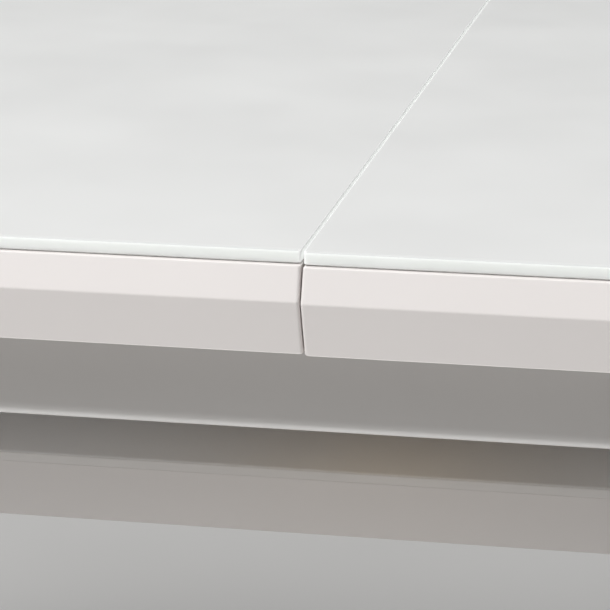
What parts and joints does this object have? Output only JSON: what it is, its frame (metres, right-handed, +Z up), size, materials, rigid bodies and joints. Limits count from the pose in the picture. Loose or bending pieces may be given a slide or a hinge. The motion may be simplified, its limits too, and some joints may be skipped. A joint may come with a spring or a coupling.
{
  "type": "extendable dining table",
  "caption": "White dining table whose glass-covered top parts at the middle on synchronised runners, with a loose insert leaf stored on hangers under the frame.",
  "frame": {"origin": "on the floor, under the middle of the closed top", "axes": "+X along the table's length, +Y from the front to the rear, +Z up"},
  "size_m": [1.5998, 0.8998, 0.76],
  "materials": {
    "white_lacquer": "satin white lacquer on fibreboard and wood",
    "white_glass": "satin white glass, coated on its underside, with polished slightly green edges",
    "bonding_film": "off-white bonding film",
    "zinc_steel": "zinc-plated pressed steel",
    "bright_steel": "bright zinc-plated fasteners",
    "runner_alloy": "natural extruded aluminium",
    "beech": "planed beech, unvarnished",
    "nylon": "natural nylon",
    "black_plastic": "fine-textured black plastic",
    "rubber": "moulded rubber",
    "felt": "grey pressed felt"
  },
  "bodies": {
    "frame": {"front_apron": "white_lacquer", "rear_apron": "white_lacquer", "left_apron": "white_lacquer", "right_apron": "white_lacquer", "leg_front_left": "white_lacquer", "leg_front_right": "white_lacquer", "leg_rear_left": "white_lacquer", "leg_rear_right": "white_lacquer", "leg_glides": "black_plastic", "corner_brackets": "zinc_steel", "leg_bolts": "bright_steel", "leg_nuts": "bright_steel", "cross_rail_left": "beech", "cross_rail_centre": "beech", "cross_rail_right": "beech", "rail_brackets": "zinc_steel", "bracket_screws": "bright_steel", "channel_front": "zinc_steel", "channel_rear": "zinc_steel", "mechanism_screws": "bright_steel", "channel_end_brackets": "zinc_steel", "channel_stops": "rubber", "pinion_bracket": "zinc_steel", "pinion_axle": "bright_steel", "leaf_hanger_left": "zinc_steel", "leaf_hanger_right": "zinc_steel", "hanger_screws": "bright_steel", "hanger_felts": "felt"},
    "left_half": {"left_board": "white_lacquer", "left_glass": "white_glass", "left_film": "bonding_film", "left_runner_front": "runner_alloy", "left_runner_rear": "runner_alloy", "left_sliders": "nylon", "left_screws": "bright_steel", "left_rack": "nylon", "left_dowels": "nylon", "latch_plates": "zinc_steel", "latch_pivots": "bright_steel"},
    "right_half": {"right_board": "white_lacquer", "right_glass": "white_glass", "right_film": "bonding_film", "right_runner_front": "runner_alloy", "right_runner_rear": "runner_alloy", "right_sliders": "nylon", "right_screws": "bright_steel", "right_rack": "nylon", "right_sockets": "nylon", "latch_keepers": "zinc_steel"},
    "gear": {"pinion": "nylon"},
    "front_latch": {"latch_lever_front": "black_plastic"},
    "rear_latch": {"latch_lever_rear": "black_plastic"},
    "leaf": {"leaf_board": "white_lacquer", "leaf_glass": "white_glass", "leaf_film": "bonding_film", "leaf_dowels": "nylon", "leaf_sockets": "nylon"}
  },
  "joints": [
    {"name": "left_slide", "type": "slide", "parent": "frame", "child": "left_half", "axis": [-1, 0, 0], "range_m": [0, 0.25]},
    {"name": "right_slide", "type": "slide", "parent": "frame", "child": "right_half", "axis": [1, 0, 0], "range_m": [0, 0.25]},
    {"name": "pinion_spin", "type": "hinge", "parent": "frame", "child": "gear", "pos_m": [0, 0, 0.7105], "axis": [0, 0, 1], "range_deg": [0, 720]},
    {"name": "front_latch_turn", "type": "hinge", "parent": "left_half", "child": "front_latch", "pos_m": [-0.045, -0.15, 0.722], "axis": [0, 0, 1], "range_deg": [0, 90]},
    {"name": "rear_latch_turn", "type": "hinge", "parent": "left_half", "child": "rear_latch", "pos_m": [-0.045, 0.15, 0.722], "axis": [0, 0, -1], "range_deg": [0, 90]},
    {"name": "leaf_slide", "type": "slide", "parent": "frame", "child": "leaf", "axis": [0, -1, 0], "range_m": [0, 0.28]}
  ],
  "couplings": [
    {"joint": "right_slide", "follows": "left_slide", "ratio": 1},
    {"joint": "pinion_spin", "follows": "left_slide", "rad_per_m": 50}
  ]
}
